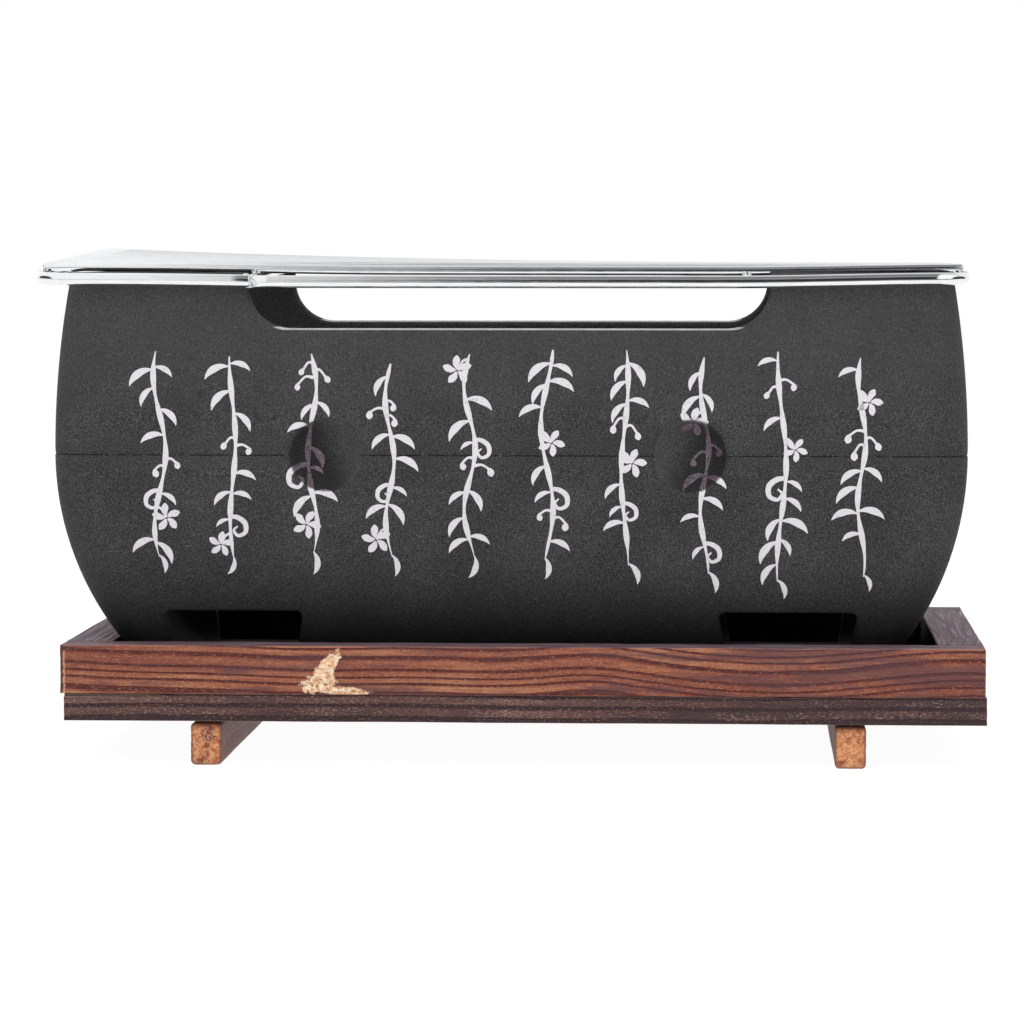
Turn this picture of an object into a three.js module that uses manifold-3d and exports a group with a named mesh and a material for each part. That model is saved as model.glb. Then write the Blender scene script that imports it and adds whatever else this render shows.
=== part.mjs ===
// Table-top hibachi grill: a cast aluminium firebox with a charcoal grate and a wire net,
// standing loose in a low wooden tray on two skids.
// Millimetres, +Z up, the front faces -Y, the long side runs along X.
// The middle of the whole object is at X = Y = 0 and the skids stand on Z = 0.

import * as THREE from 'three';
import { mergeVertices } from 'three/addons/utils/BufferGeometryUtils.js';
import Module from 'manifold-3d';

const wasm = await Module();
wasm.setup();

// ---- Driving dimensions ----------------------------------------------------

const GAP = 0.3; // clearance kept between pieces that touch on the real grill
const PAST = 1; // how far a cutter runs past the face that it opens

// Wooden tray: the firebox stands a little left of its middle.
const TRAY_X = 3.3;
const TRAY_LENGTH = 235;
const TRAY_DEPTH = 128;
const RAIL_WIDTH = 12;
const RAIL_TOP = 31;
const BOARD_BOTTOM = 11.4;
const BOARD_TOP = 18.4;
const BOARD_SETBACK = 0.8;
const FOOT_WIDTH = 8.2;
const FOOT_LENGTH = 125;
const FOOT_ROUNDING = 1.5;
const FOOT_SPACING = 163.8;
const FOOT_OFFSET = 1.6;

// Fasteners of the tray
const NAIL = { head: 2.4, headHeight: 1, shank: 0.9, length: 16, point: 2 };
const SCREW = { head: 3, headHeight: 2, shank: 1.4, length: 14, point: 3 };
const END_NAIL_X = 100;
const SCREW_Y = 45;

// Firebox casting
const BODY_HALF_LENGTH = 116.25;
const BODY_HALF_DEPTH = 63;
const BODY_CORNER = 8;
const BODY_TOP = 125.5;
const WIDEST_Z = 79.5;
const UPPER_ARC = 275; // radius of the side wall above its widest level
const LOWER_ARC = 89; // radius of the side wall below it
const WALL = 4.5;
const FLOOR_BOTTOM = 19.5;
const FLOOR_TOP = 22.6;
const PAD = { radius: 6, x: 78, y: 29 }; // feet cast under the floor

const NOTCH_BOTTOM = 111.4;
const NOTCH_HALF_LENGTH = 66.2;
const NOTCH_CORNER = 10.9;

const VENT_X = 71;
const VENT_TOP = 38.9;
const VENT_TOP_WIDTH = 35.2;
const VENT_BOTTOM_WIDTH = 29.7;

const DIMPLE = { x: 46.2, z: 79.3, opening: 18.5, depth: 7 };
const BOSS_WALL = 4; // metal left behind a dimple, which makes the boss inside

// Charcoal grate
const GRATE_HALF_LENGTH = 107.5;
const GRATE_HALF_DEPTH = 54.3;
const GRATE_THICKNESS = 1.2;
const SLOT = { length: 24, width: 6, columns: 9, rows: 3, columnPitch: 21, rowPitch: 33 };

// Wire net: it sits on the casting, pushed to the left.
const NET_X = -2.2;
const NET_LENGTH = 237.2;
const NET_DEPTH = 129;
const NET_CORNER = 9;
const RIM_RADIUS = 1.6;
const LONG_WIRE_RADIUS = 1.1;
const LONG_WIRES = 12;
const LONG_WIRE_PITCH = 9.8;
const LONG_WIRE_LENGTH = 234.2;
const CROSS_WIRE_RADIUS = 1.1;
const CROSS_WIRE_X = 62.5;

// ---- Materials -------------------------------------------------------------

const finish = (color, roughness, metalness = 0) => () =>
  new THREE.MeshStandardMaterial({ color, roughness, metalness });

const charredWood = finish(0x8a4f38, 0.6);
const darkWood = finish(0x4c2c25, 0.7);
const footWood = finish(0xa8683c, 0.65);
const sandedCoating = finish(0x484848, 0.75, 0.1);
const blackSteel = finish(0x2c2c2e, 0.6, 0.8);
const zincSteel = finish(0x9a9a94, 0.4, 0.9);
const chromedWire = finish(0xd6d8da, 0.12, 1);

// ---- Solids ----------------------------------------------------------------

// A three.js geometry as a solid that can be joined and cut
function solidOf(geometry) {
  const bare = geometry.clone();
  bare.deleteAttribute('normal');
  bare.deleteAttribute('uv');
  const merged = mergeVertices(bare, 1e-4);
  const vertProperties = new Float32Array(merged.attributes.position.array);
  const triVerts = new Uint32Array(merged.index.array);
  return new wasm.Manifold(new wasm.Mesh({ numProp: 3, vertProperties, triVerts }));
}

// The solid back as a three.js geometry
function geometryOf(solid) {
  const { vertProperties, triVerts } = solid.getMesh();
  const geometry = new THREE.BufferGeometry();
  geometry.setAttribute('position', new THREE.BufferAttribute(vertProperties, 3));
  geometry.setIndex(new THREE.BufferAttribute(triVerts, 1));
  geometry.computeVertexNormals();
  return geometry;
}

function cut(geometry, cutters) {
  return geometryOf(cutters.reduce((solid, cutter) => solid.subtract(solidOf(cutter)), solidOf(geometry)));
}

// A box given by its low and high corners
function block(low, high) {
  const size = high.map((value, axis) => value - low[axis]);
  const middle = high.map((value, axis) => (value + low[axis]) / 2);
  return new THREE.BoxGeometry(...size).translate(...middle);
}

// An outline in the XZ plane, extruded along Y between two depths
function alongY(shape, yLow, yHigh, curveSegments = 4) {
  const options = { depth: yHigh - yLow, bevelEnabled: false, curveSegments };
  return new THREE.ExtrudeGeometry(shape, options).rotateX(Math.PI / 2).translate(0, yHigh, 0);
}

// A headed fastener turned about Z, its head on Z = 0 and its shank going up.
// With room > 0 it is the hole that takes it.
function fastener({ head, headHeight, shank, length, point }, flatHead, room = 0) {
  const shankStart = flatHead ? shank + room : head + room;
  const open = room > 0 ? -PAST : 0;
  const profile = [
    new THREE.Vector2(0, open),
    new THREE.Vector2(head + room, open),
    new THREE.Vector2(head + room, flatHead ? 0 : headHeight + room),
    new THREE.Vector2(shankStart, headHeight + room),
    new THREE.Vector2(shank + room, headHeight + room),
    new THREE.Vector2(shank + room, length - point + room),
    new THREE.Vector2(0, length + room),
  ];
  const distinct = profile.filter((spot, i) => i === 0 || !spot.equals(profile[i - 1]));
  return new THREE.LatheGeometry(distinct, 12).rotateX(Math.PI / 2);
}

const nail = (room) => fastener(NAIL, false, room);
const screw = (room) => fastener(SCREW, true, room).rotateX(Math.PI);

// ---- Placing ---------------------------------------------------------------

function piece(name, geometry, material, parent, x = 0, y = 0, z = 0) {
  const mesh = new THREE.Mesh(geometry, material());
  mesh.name = name;
  mesh.position.set(x, y, z);
  parent.add(mesh);
}

// ---- Wooden tray -----------------------------------------------------------

const halfTray = TRAY_LENGTH / 2;
const halfTrayDepth = TRAY_DEPTH / 2;
const railMiddleX = halfTray - RAIL_WIDTH / 2;
const railMiddleY = halfTrayDepth - RAIL_WIDTH / 2;
const footXs = [-1, 1].map((side) => FOOT_OFFSET + (side * FOOT_SPACING) / 2);

const nailSpots = [
  ...[-1, 1].flatMap((side) => [-END_NAIL_X, 0, END_NAIL_X].map((x) => [x, side * railMiddleY])),
  [-railMiddleX, 0],
  [railMiddleX, 0],
];
const screwSpots = footXs.flatMap((x) => [-SCREW_Y, SCREW_Y].map((y) => [x, y]));

const nailHoles = nailSpots.map(([x, y]) => nail(GAP).translate(x, y, BOARD_BOTTOM));
const screwHoles = screwSpots.map(([x, y]) => screw(GAP).translate(x, y, BOARD_TOP));

// The holes of the fasteners that stand inside this stretch of the tray
function holesWithin(holes, spots, low, high) {
  const inside = ([x, y]) => x > low[0] && x < high[0] && y > low[1] && y < high[1];
  return holes.filter((hole, i) => inside(spots[i]));
}

function rail(low, high) {
  const bottom = BOARD_TOP + GAP;
  const timber = block([...low, bottom], [...high, RAIL_TOP]);
  return cut(timber, holesWithin(nailHoles, nailSpots, low, high));
}

function baseBoard() {
  const x = halfTray - BOARD_SETBACK;
  const y = halfTrayDepth - BOARD_SETBACK / 2;
  return cut(block([-x, -y, BOARD_BOTTOM], [x, y, BOARD_TOP]), [...nailHoles, ...screwHoles]);
}

function foot(x) {
  const half = FOOT_WIDTH / 2;
  const top = BOARD_BOTTOM - GAP;
  const outline = new THREE.Shape();
  outline.absarc(FOOT_ROUNDING - half, FOOT_ROUNDING, FOOT_ROUNDING, Math.PI, 1.5 * Math.PI);
  outline.absarc(half - FOOT_ROUNDING, FOOT_ROUNDING, FOOT_ROUNDING, 1.5 * Math.PI, 2 * Math.PI);
  outline.lineTo(half, top);
  outline.lineTo(-half, top);
  const skid = alongY(outline, -FOOT_LENGTH / 2, FOOT_LENGTH / 2).translate(x, 0, 0);
  const low = [x - half, -FOOT_LENGTH / 2];
  const high = [x + half, FOOT_LENGTH / 2];
  return cut(skid, holesWithin(screwHoles, screwSpots, low, high));
}

function tray() {
  const group = new THREE.Group();
  group.position.x = TRAY_X;
  const inner = halfTrayDepth - RAIL_WIDTH;
  const sideEnd = inner - GAP;
  piece('front_rail', rail([-halfTray, -halfTrayDepth], [halfTray, -inner]), charredWood, group);
  piece('rear_rail', rail([-halfTray, inner], [halfTray, halfTrayDepth]), charredWood, group);
  piece('left_rail', rail([-halfTray, -sideEnd], [RAIL_WIDTH - halfTray, sideEnd]), charredWood, group);
  piece('right_rail', rail([halfTray - RAIL_WIDTH, -sideEnd], [halfTray, sideEnd]), charredWood, group);
  piece('base_board', baseBoard(), darkWood, group);
  piece('left_foot', foot(footXs[0]), footWood, group);
  piece('right_foot', foot(footXs[1]), footWood, group);
  nailSpots.forEach(([x, y], i) => {
    piece(`rail_nail_${i + 1}`, nail(0), zincSteel, group, x, y, BOARD_BOTTOM);
  });
  screwSpots.forEach(([x, y], i) => {
    piece(`foot_screw_${i + 1}`, screw(0), zincSteel, group, x, y, BOARD_TOP);
  });
  return group;
}

// ---- Firebox casting -------------------------------------------------------

// How far the side wall is drawn in from its widest level
function wallInset(z) {
  const radius = z > WIDEST_Z ? UPPER_ARC : LOWER_ARC;
  const rise = z - WIDEST_Z;
  return radius - Math.sqrt(radius * radius - rise * rise);
}

function roundedRectangle(halfLength, halfDepth, radius) {
  const x = halfLength - radius;
  const y = halfDepth - radius;
  const shape = new THREE.Shape();
  shape.absarc(x, y, radius, 0, 0.5 * Math.PI);
  shape.absarc(-x, y, radius, 0.5 * Math.PI, Math.PI);
  shape.absarc(-x, -y, radius, Math.PI, 1.5 * Math.PI);
  shape.absarc(x, -y, radius, 1.5 * Math.PI, 2 * Math.PI);
  return shape;
}

// The body's outer shape set in by a wall, from one level up to another: a prism
// with a ring of vertices for each level, and each ring drawn in as the wall curves
function bulgedBody(wall, zLow, zHigh, steps) {
  const radius = BODY_CORNER - wall / 2;
  const outline = roundedRectangle(BODY_HALF_LENGTH - wall, BODY_HALF_DEPTH - wall, radius);
  const options = { depth: steps, steps, bevelEnabled: false, curveSegments: 3 };
  const geometry = new THREE.ExtrudeGeometry(outline, options);
  const { position } = geometry.attributes;
  for (let i = 0; i < position.count; i += 1) {
    const z = zLow + ((zHigh - zLow) * position.getZ(i)) / steps;
    const inset = wallInset(z);
    const x = position.getX(i) - Math.sign(position.getX(i)) * inset;
    const y = position.getY(i) - Math.sign(position.getY(i)) * inset;
    position.setXYZ(i, x, y, z);
  }
  return geometry;
}

// The handle notch that is sunk in the top of the front and rear walls
function notchCutter() {
  const x = NOTCH_HALF_LENGTH - NOTCH_CORNER;
  const z = NOTCH_BOTTOM + NOTCH_CORNER;
  const outline = new THREE.Shape();
  outline.absarc(-x, z, NOTCH_CORNER, Math.PI, 1.5 * Math.PI);
  outline.absarc(x, z, NOTCH_CORNER, 1.5 * Math.PI, 2 * Math.PI);
  outline.lineTo(NOTCH_HALF_LENGTH, BODY_TOP + PAST);
  outline.lineTo(-NOTCH_HALF_LENGTH, BODY_TOP + PAST);
  return alongY(outline, -BODY_HALF_DEPTH - PAST, BODY_HALF_DEPTH + PAST);
}

// An air vent just above the floor, wider at its top, through both long walls
function ventCutter(x) {
  const top = VENT_TOP_WIDTH / 2;
  const bottom = VENT_BOTTOM_WIDTH / 2;
  const corners = [[-top, VENT_TOP], [-bottom, FLOOR_TOP], [bottom, FLOOR_TOP], [top, VENT_TOP]];
  const outline = new THREE.Shape(corners.map((corner) => new THREE.Vector2(...corner)));
  return alongY(outline, -BODY_HALF_DEPTH, BODY_HALF_DEPTH).translate(x, 0, 0);
}

const dimpleRadius = ((DIMPLE.opening / 2) ** 2 + DIMPLE.depth ** 2) / (2 * DIMPLE.depth);
const dimpleY = BODY_HALF_DEPTH + dimpleRadius - DIMPLE.depth;
const bossRadius = dimpleRadius + BOSS_WALL;
const dimpleSpots = [-1, 1].flatMap((side) => [-1, 1].map((end) => [end * DIMPLE.x, side * dimpleY]));

// One ball for each dimple, centred just outside the wall
function dimpleBalls(radius) {
  return dimpleSpots.map(([x, y]) =>
    new THREE.SphereGeometry(radius, 20, 14).rotateX(Math.PI / 2).translate(x, y, DIMPLE.z));
}

function pad(x, y) {
  const low = BOARD_TOP + GAP;
  const height = FLOOR_TOP - low - PAST;
  const middle = low + height / 2;
  return new THREE.CylinderGeometry(PAD.radius, PAD.radius, height, 16)
    .rotateX(Math.PI / 2)
    .translate(x, y, middle);
}

function fireboxCasting() {
  const outer = solidOf(bulgedBody(0, FLOOR_BOTTOM, BODY_TOP, 14));
  const hollow = bulgedBody(WALL, FLOOR_TOP, BODY_TOP + PAST, 12);
  const pads = [-1, 1].flatMap((side) => [-1, 1].map((end) => pad(end * PAD.x, side * PAD.y)));
  let casting = outer.subtract(solidOf(hollow));
  for (const ball of dimpleBalls(bossRadius)) {
    casting = casting.add(solidOf(ball).intersect(outer));
  }
  for (const foot of pads) {
    casting = casting.add(solidOf(foot));
  }
  const cutters = [...dimpleBalls(dimpleRadius), ventCutter(-VENT_X), ventCutter(VENT_X), notchCutter()];
  for (const cutter of cutters) {
    casting = casting.subtract(solidOf(cutter));
  }
  return geometryOf(casting);
}

// ---- Charcoal grate --------------------------------------------------------

// The grate's edges rest on the four bosses behind the dimples.
const grateReach = dimpleY - GRATE_HALF_DEPTH;
const GRATE_BOTTOM = DIMPLE.z + Math.sqrt(bossRadius ** 2 - grateReach ** 2) + GAP;

function slot(x, y) {
  const radius = SLOT.width / 2;
  const straight = SLOT.length / 2 - radius;
  const hole = new THREE.Path();
  hole.absarc(x, y + straight, radius, 0, Math.PI);
  hole.absarc(x, y - straight, radius, Math.PI, 2 * Math.PI);
  hole.closePath();
  return hole;
}

function charcoalGrate() {
  const outline = roundedRectangle(GRATE_HALF_LENGTH, GRATE_HALF_DEPTH, 3);
  for (let column = 0; column < SLOT.columns; column += 1) {
    for (let row = 0; row < SLOT.rows; row += 1) {
      const x = (column - (SLOT.columns - 1) / 2) * SLOT.columnPitch;
      const y = (row - (SLOT.rows - 1) / 2) * SLOT.rowPitch;
      outline.holes.push(slot(x, y));
    }
  }
  const options = { depth: GRATE_THICKNESS, bevelEnabled: false, curveSegments: 3 };
  return geometryOf(solidOf(new THREE.ExtrudeGeometry(outline, options)));
}

function firebox() {
  const group = new THREE.Group();
  piece('firebox', fireboxCasting(), sandedCoating, group);
  piece('charcoal_grate', charcoalGrate(), blackSteel, group, 0, 0, GRATE_BOTTOM);
  return group;
}

// ---- Wire net --------------------------------------------------------------

// A wire bent through the points given, with one section of the tube at each
class BentWire extends THREE.Curve {
  constructor(points) {
    super();
    this.points = points;
    this.last = points.length - 1;
  }

  getPointAt(u, target = new THREE.Vector3()) {
    return target.copy(this.points[Math.round(u * this.last)]);
  }

  getTangentAt(u, target = new THREE.Vector3()) {
    const index = Math.round(u * this.last);
    const before = this.points[Math.max(index - 1, 0)];
    const after = this.points[Math.min(index + 1, this.last)];
    return target.subVectors(after, before).normalize();
  }
}

// The rim is one wire bent round four corners; its ends meet at the weld in front.
function netRim() {
  const radius = NET_CORNER - RIM_RADIUS;
  const halfLength = NET_LENGTH / 2 - RIM_RADIUS;
  const halfDepth = NET_DEPTH / 2 - RIM_RADIUS;
  const stepsPerCorner = 6;
  const points = [new THREE.Vector3(GAP / 2 - CROSS_WIRE_X, -halfDepth, 0)];
  for (const [sideX, sideY, start] of [[1, -1, -0.5], [1, 1, 0], [-1, 1, 0.5], [-1, -1, 1]]) {
    for (let step = 0; step <= stepsPerCorner; step += 1) {
      const angle = Math.PI * (start + (0.5 * step) / stepsPerCorner);
      const x = sideX * (halfLength - radius) + radius * Math.cos(angle);
      const y = sideY * (halfDepth - radius) + radius * Math.sin(angle);
      points.push(new THREE.Vector3(x, y, 0));
    }
  }
  points.push(new THREE.Vector3(-GAP / 2 - CROSS_WIRE_X, -halfDepth, 0));
  const path = new BentWire(points);
  const section = new THREE.Shape();
  section.absarc(0, 0, RIM_RADIUS, 0, 2 * Math.PI);
  const options = { steps: path.last, extrudePath: path, curveSegments: 6 };
  return new THREE.ExtrudeGeometry(section, options);
}

function net() {
  const group = new THREE.Group();
  group.position.x = NET_X;
  const rimZ = BODY_TOP - RIM_RADIUS;
  piece('net_rim', netRim(), chromedWire, group, 0, 0, rimZ);

  const crossLength = NET_DEPTH - 4 * RIM_RADIUS - 2 * GAP;
  const crossZ = BODY_TOP - CROSS_WIRE_RADIUS;
  for (const [side, sign] of [['left', -1], ['right', 1]]) {
    const wire = new THREE.CylinderGeometry(CROSS_WIRE_RADIUS, CROSS_WIRE_RADIUS, crossLength, 12);
    piece(`cross_wire_${side}`, wire, chromedWire, group, sign * CROSS_WIRE_X, 0, crossZ);
  }

  const longZ = BODY_TOP + GAP + LONG_WIRE_RADIUS;
  for (let i = 0; i < LONG_WIRES; i += 1) {
    const radius = LONG_WIRE_RADIUS;
    const wire = new THREE.CylinderGeometry(radius, radius, LONG_WIRE_LENGTH, 12).rotateZ(Math.PI / 2);
    const y = (i - (LONG_WIRES - 1) / 2) * LONG_WIRE_PITCH;
    piece(`long_wire_${i + 1}`, wire, chromedWire, group, 0, y, longZ);
  }
  return group;
}

// ---- Assembly --------------------------------------------------------------

const hibachi = new THREE.Group();
hibachi.add(tray(), firebox(), net());

export default hibachi;
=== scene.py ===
import math
import random

import bmesh
import bpy
import numpy as np
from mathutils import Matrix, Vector, noise


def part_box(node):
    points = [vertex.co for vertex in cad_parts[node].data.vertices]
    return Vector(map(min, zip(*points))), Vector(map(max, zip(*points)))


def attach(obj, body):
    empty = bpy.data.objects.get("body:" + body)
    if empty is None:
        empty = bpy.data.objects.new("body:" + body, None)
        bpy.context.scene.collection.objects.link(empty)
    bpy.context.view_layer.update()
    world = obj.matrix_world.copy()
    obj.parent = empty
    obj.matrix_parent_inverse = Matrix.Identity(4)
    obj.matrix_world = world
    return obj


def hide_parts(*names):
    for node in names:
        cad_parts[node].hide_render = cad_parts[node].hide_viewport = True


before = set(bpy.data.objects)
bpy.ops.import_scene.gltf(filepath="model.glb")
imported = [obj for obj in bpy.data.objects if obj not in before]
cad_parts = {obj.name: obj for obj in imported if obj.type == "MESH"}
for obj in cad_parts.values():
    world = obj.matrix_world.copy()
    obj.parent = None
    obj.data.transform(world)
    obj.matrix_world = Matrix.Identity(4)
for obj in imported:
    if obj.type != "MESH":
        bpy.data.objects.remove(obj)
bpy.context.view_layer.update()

# A table-top hibachi: a cast firebox with a wire net, loose in a charred wooden tray.
# Shapes are worked out in millimetres and turned into metres when a mesh is made.

MM = 0.001


def box_mm(node):
    """The low and high corners of a CAD node, in millimetres."""
    low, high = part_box(node)
    return np.array(low) / MM, np.array(high) / MM


# ---- Driving dimensions (millimetres) --------------------------------------

CASTING_LOW, CASTING_HIGH = box_mm("firebox")
HALF_LENGTH = CASTING_HIGH[0]
HALF_DEPTH = CASTING_HIGH[1]
CASTING_TOP = CASTING_HIGH[2]
WIDEST_Z = 79.5
UPPER_ARC = 275.0
LOWER_ARC = 89.0
BODY_CORNER = 8.0
WALL = 4.5
FLOOR_BOTTOM = 19.5
FLOOR_TOP = 22.6
CAST_EDGE = 1.2  # rounding of the casting's edges
PARTING_Z = 79.3
PAD_RADIUS = 6.0
PAD_X = 78.0
PAD_Y = 29.0

RAIL_LOW, RAIL_TOP_CORNER = box_mm("rear_rail")
RAIL_TOP = RAIL_TOP_CORNER[2]
RAIL_INNER_Y = RAIL_LOW[1]
RAIL_INNER_X = box_mm("right_rail")[0][0] - sum(box_mm("base_board"))[0] / 2
TRAY_X = sum(box_mm("base_board"))[0] / 2

NOTCH_BOTTOM = 111.4
NOTCH_HALF_LENGTH = 66.2
NOTCH_CORNER = 10.9

VENT_X = 71.0
VENT_TOP = 38.9
VENT_TOP_WIDTH = 35.2
VENT_BOTTOM_WIDTH = 29.7

DIMPLE_X = 46.2
DIMPLE_Z = 79.3
DIMPLE_OPENING = 9.25
DIMPLE_DEPTH = 7.0
LIP = 0.8  # rounding of a dimple's edge
DIMPLE_RADIUS = (DIMPLE_OPENING**2 + DIMPLE_DEPTH**2) / (2 * DIMPLE_DEPTH)
BOSS_RADIUS = DIMPLE_RADIUS + 4.0

SEED = 20


# ---- Mesh helpers ----------------------------------------------------------


def make_object(name, points, faces, material=None, sharp=35.0):
    """A mesh object from points in millimetres, shaded smooth up to an angle."""
    mesh = bpy.data.meshes.new(name)
    mesh.from_pydata((np.asarray(points, float) * MM).tolist(), [], faces)
    work = bmesh.new()
    work.from_mesh(mesh)
    bmesh.ops.recalc_face_normals(work, faces=work.faces)
    work.to_mesh(mesh)
    work.free()
    made = bpy.data.objects.new(name, mesh)
    bpy.context.scene.collection.objects.link(made)
    if material:
        mesh.materials.append(material)
    soften(made, sharp)
    return made


def soften(made, sharp=35.0):
    made.data.shade_smooth()
    made.data.set_sharp_from_angle(angle=math.radians(sharp))


def loft(rings, closed=False):
    """Points and faces that join equal rings in turn, with the two ends filled."""
    count = len(rings[0])
    points = [point for ring in rings for point in ring]
    faces = []
    pairs = len(rings) if closed else len(rings) - 1
    for level in range(pairs):
        here = level * count
        there = (level + 1) % len(rings) * count
        for i in range(count):
            j = (i + 1) % count
            faces.append((here + i, here + j, there + j, there + i))
    if not closed:
        faces.append(tuple(reversed(range(count))))
        faces.append(tuple(range(len(points) - count, len(points))))
    return points, faces


def join(parts):
    """Several (points, faces) as one."""
    points = []
    faces = []
    for part_points, part_faces in parts:
        start = len(points)
        points.extend(part_points)
        faces.extend(tuple(start + i for i in face) for face in part_faces)
    return points, faces


def apply_modifiers(made):
    graph = bpy.context.evaluated_depsgraph_get()
    mesh = bpy.data.meshes.new_from_object(made.evaluated_get(graph))
    made.modifiers.clear()
    made.data = mesh


def boolean(made, parts, operation):
    """Joins (points, faces) parts to an object, or cuts them from it."""
    points, faces = join(parts)
    tool = make_object("tool", points, faces)
    modifier = made.modifiers.new(operation, "BOOLEAN")
    modifier.operation = operation
    modifier.solver = "EXACT"
    modifier.object = tool
    apply_modifiers(made)
    bpy.data.objects.remove(tool)


def circle(radius, count):
    angles = np.arange(count) * 2 * math.pi / count
    return [(radius * math.cos(a), radius * math.sin(a)) for a in angles]


def turned(profile, place, count=32, axis="z"):
    """A solid of revolution: profile holds (radius, height) pairs, open at both ends."""
    rings = []
    for radius, height in profile:
        ring = circle(radius, count)
        if axis == "z":
            rings.append([(place[0] + u, place[1] + v, place[2] + height) for u, v in ring])
        else:
            rings.append([(place[0] + u, place[1] + height, place[2] + v) for u, v in ring])
    return loft(rings)


def sweep(path, radii, sides=16):
    """A round tube through the points of a path, with a radius at each."""
    path = np.asarray(path, float)
    heading = np.gradient(path, axis=0)
    heading /= np.linalg.norm(heading, axis=1)[:, None]
    up = np.array([0.0, 0.0, 1.0])
    rings = []
    for point, ahead, radius in zip(path, heading, radii):
        side = np.cross(ahead, up)
        side /= np.linalg.norm(side)
        top = np.cross(side, ahead)
        rings.append([point + side * u + top * v for u, v in circle(radius, sides)])
    return rings


def wire(path, radius, sides=16, rounding=0.5):
    """A wire along a path, with its cut ends a little rounded."""
    path = [np.asarray(point, float) for point in path]
    steps = [0.0, 0.35, 0.7, 1.0]
    ahead = (path[1] - path[0]) / np.linalg.norm(path[1] - path[0])
    behind = (path[-2] - path[-1]) / np.linalg.norm(path[-2] - path[-1])
    start = [path[0] + ahead * s * rounding for s in steps]
    end = [path[-1] + behind * s * rounding for s in reversed(steps)]
    shrink = [radius - rounding + rounding * math.sqrt(1 - (1 - s) ** 2) for s in steps]
    radii = shrink + [radius] * (len(path) - 2) + shrink[::-1]
    return loft(sweep(start + path[1:-1] + end, radii, sides))


def blob(place, size, count=10):
    """A small flattened ball, such as the bead of a spot weld."""
    x, y, z = place
    rings = []
    for step in range(1, count // 2):
        angle = math.pi * step / (count // 2) - math.pi / 2
        level = z + size[2] * math.sin(angle)
        rings.append([(x + size[0] * u, y + size[1] * v, level) for u, v in circle(math.cos(angle), count)])
    return loft(rings)


# ---- Shader helpers --------------------------------------------------------


def tone(red, green, blue):
    """A linear colour from its 0 to 255 display values."""
    values = []
    for value in (red / 255, green / 255, blue / 255):
        values.append(value / 12.92 if value <= 0.04045 else ((value + 0.055) / 1.055) ** 2.4)
    return (*values, 1.0)


def grey(level):
    return (level, level, level, 1.0)


class Nodes:
    """A node tree, with short calls that add nodes and join them."""

    def __init__(self, tree):
        self.tree = tree

    def feed(self, socket, value):
        if isinstance(value, bpy.types.NodeSocket):
            self.tree.links.new(value, socket)
        else:
            socket.default_value = value

    def add(self, kind, **inputs):
        made = self.tree.nodes.new("ShaderNode" + kind)
        for name, value in inputs.items():
            self.feed(made.inputs[name], value)
        return made

    def math(self, operation, first, second=0.0, third=0.0, clamp=False):
        made = self.tree.nodes.new("ShaderNodeMath")
        made.operation = operation
        made.use_clamp = clamp
        for socket, value in zip(made.inputs, (first, second, third)):
            self.feed(socket, value)
        return made.outputs[0]

    def times(self, first, second, clamp=False):
        return self.math("MULTIPLY", first, second, clamp=clamp)

    def scaled(self, value, factor, offset):
        """value times factor, plus offset."""
        return self.math("MULTIPLY_ADD", value, factor, offset)

    def minus(self, first, second):
        return self.math("SUBTRACT", first, second)

    def gap(self, first, second):
        return self.math("ABSOLUTE", self.minus(first, second))

    def rest(self, part):
        """What is left of 1."""
        return self.minus(1.0, part)

    def length(self, first, second):
        """The length of a vector from two components."""
        return self.math("SQRT", self.math("ADD", self.times(first, first), self.times(second, second)))

    def fade(self, value, start, end):
        """0 below start and 1 above end, smooth between."""
        made = self.tree.nodes.new("ShaderNodeMapRange")
        made.interpolation_type = "SMOOTHSTEP"
        self.feed(made.inputs["Value"], value)
        self.feed(made.inputs["From Min"], start)
        self.feed(made.inputs["From Max"], end)
        return made.outputs["Result"]

    def spread(self, value, low, high):
        """A 0 to 1 value taken to the range from low to high."""
        return self.scaled(value, high - low, low)

    def mix(self, factor, first, second):
        made = self.tree.nodes.new("ShaderNodeMix")
        made.data_type = "RGBA"
        self.feed(made.inputs[0], factor)
        self.feed(made.inputs[6], first)
        self.feed(made.inputs[7], second)
        return made.outputs[2]

    def ramp(self, factor, stops):
        """A colour that changes with factor: stops holds (factor, colour) pairs."""
        made = self.add("ValToRGB", Fac=factor)
        elements = made.color_ramp.elements
        while len(elements) < len(stops):
            elements.new(0.5)
        for element, (position, colour) in zip(elements, stops):
            element.position = position
            element.color = colour
        return made.outputs["Color"]


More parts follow.
